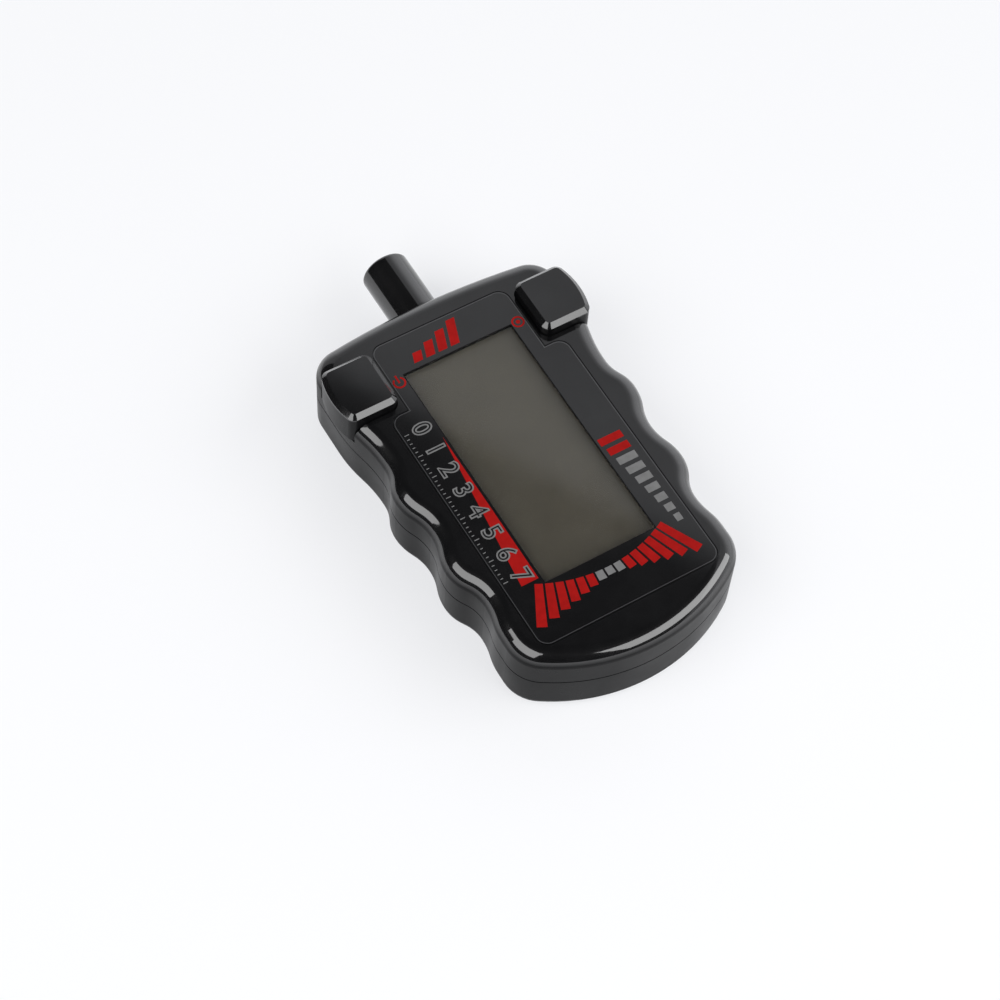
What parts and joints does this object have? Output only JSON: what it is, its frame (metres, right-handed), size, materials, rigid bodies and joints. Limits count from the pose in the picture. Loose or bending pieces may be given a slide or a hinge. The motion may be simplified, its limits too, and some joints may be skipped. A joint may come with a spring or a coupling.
{
  "type": "tachometer",
  "caption": "Hand-held optical tachometer with a gripped two-part case, display, two shoulder buttons, sensor snout and sliding battery door.",
  "frame": {"origin": "on the back face, at the middle of the outline", "axes": "+Y along the case to the sensor snout, +Z out of the display, +X across to the right"},
  "size_m": [0.0498, 0.091, 0.0189],
  "materials": {
    "case_plastic": "glossy moulded black",
    "button_plastic": "glossy moulded black",
    "label_print": "glossy printed film, black",
    "clear_window": "clear and polished",
    "display_glass": "blank grey display",
    "holder_plastic": "moulded white",
    "strip_rubber": "soft, banded",
    "board_laminate": "green solder mask",
    "black_epoxy": "cast",
    "bright_metal": "plated",
    "chip_ceramic": "fired",
    "switch_plastic": "moulded",
    "sensor_epoxy": "dark clear epoxy",
    "spring_steel": "nickel plated",
    "cell_steel": "nickel plated",
    "screw_steel": "blackened"
  },
  "bodies": {
    "case": {"front_shell": "case_plastic", "rear_shell": "case_plastic", "display_label": "label_print", "display_window": "clear_window", "coin_cell": "cell_steel", "case_screws": "screw_steel", "lcd_panel": "display_glass", "lcd_holder": "holder_plastic", "contact_strip_left": "strip_rubber", "contact_strip_right": "strip_rubber", "circuit_board": "board_laminate", "controller_blob": "black_epoxy", "timing_crystal": "bright_metal", "amplifier_chip": "black_epoxy", "chip_resistors": "black_epoxy", "chip_capacitors": "chip_ceramic", "power_switch_body": "switch_plastic", "set_switch_body": "switch_plastic", "switch_terminals": "bright_metal", "light_sensor": "sensor_epoxy", "sensor_leads": "bright_metal", "sensor_solder": "bright_metal", "positive_contact": "spring_steel", "negative_contact": "spring_steel", "board_screws": "bright_metal"},
    "power_button": {"power_button": "button_plastic", "power_switch_plunger": "switch_plastic"},
    "set_button": {"set_button": "button_plastic", "set_switch_plunger": "switch_plastic"},
    "battery_door": {"battery_door": "case_plastic"}
  },
  "joints": [
    {"name": "power_button_press", "type": "slide", "parent": "case", "child": "power_button", "axis": [0, 0, -1], "range_m": [0, 0.0004], "stiffness_N_per_m": 2500},
    {"name": "set_button_press", "type": "slide", "parent": "case", "child": "set_button", "axis": [0, 0, -1], "range_m": [0, 0.0004], "stiffness_N_per_m": 2500},
    {"name": "battery_door_slide", "type": "slide", "parent": "case", "child": "battery_door", "axis": [0, -1, 0], "range_m": [0, 0.03]}
  ]
}
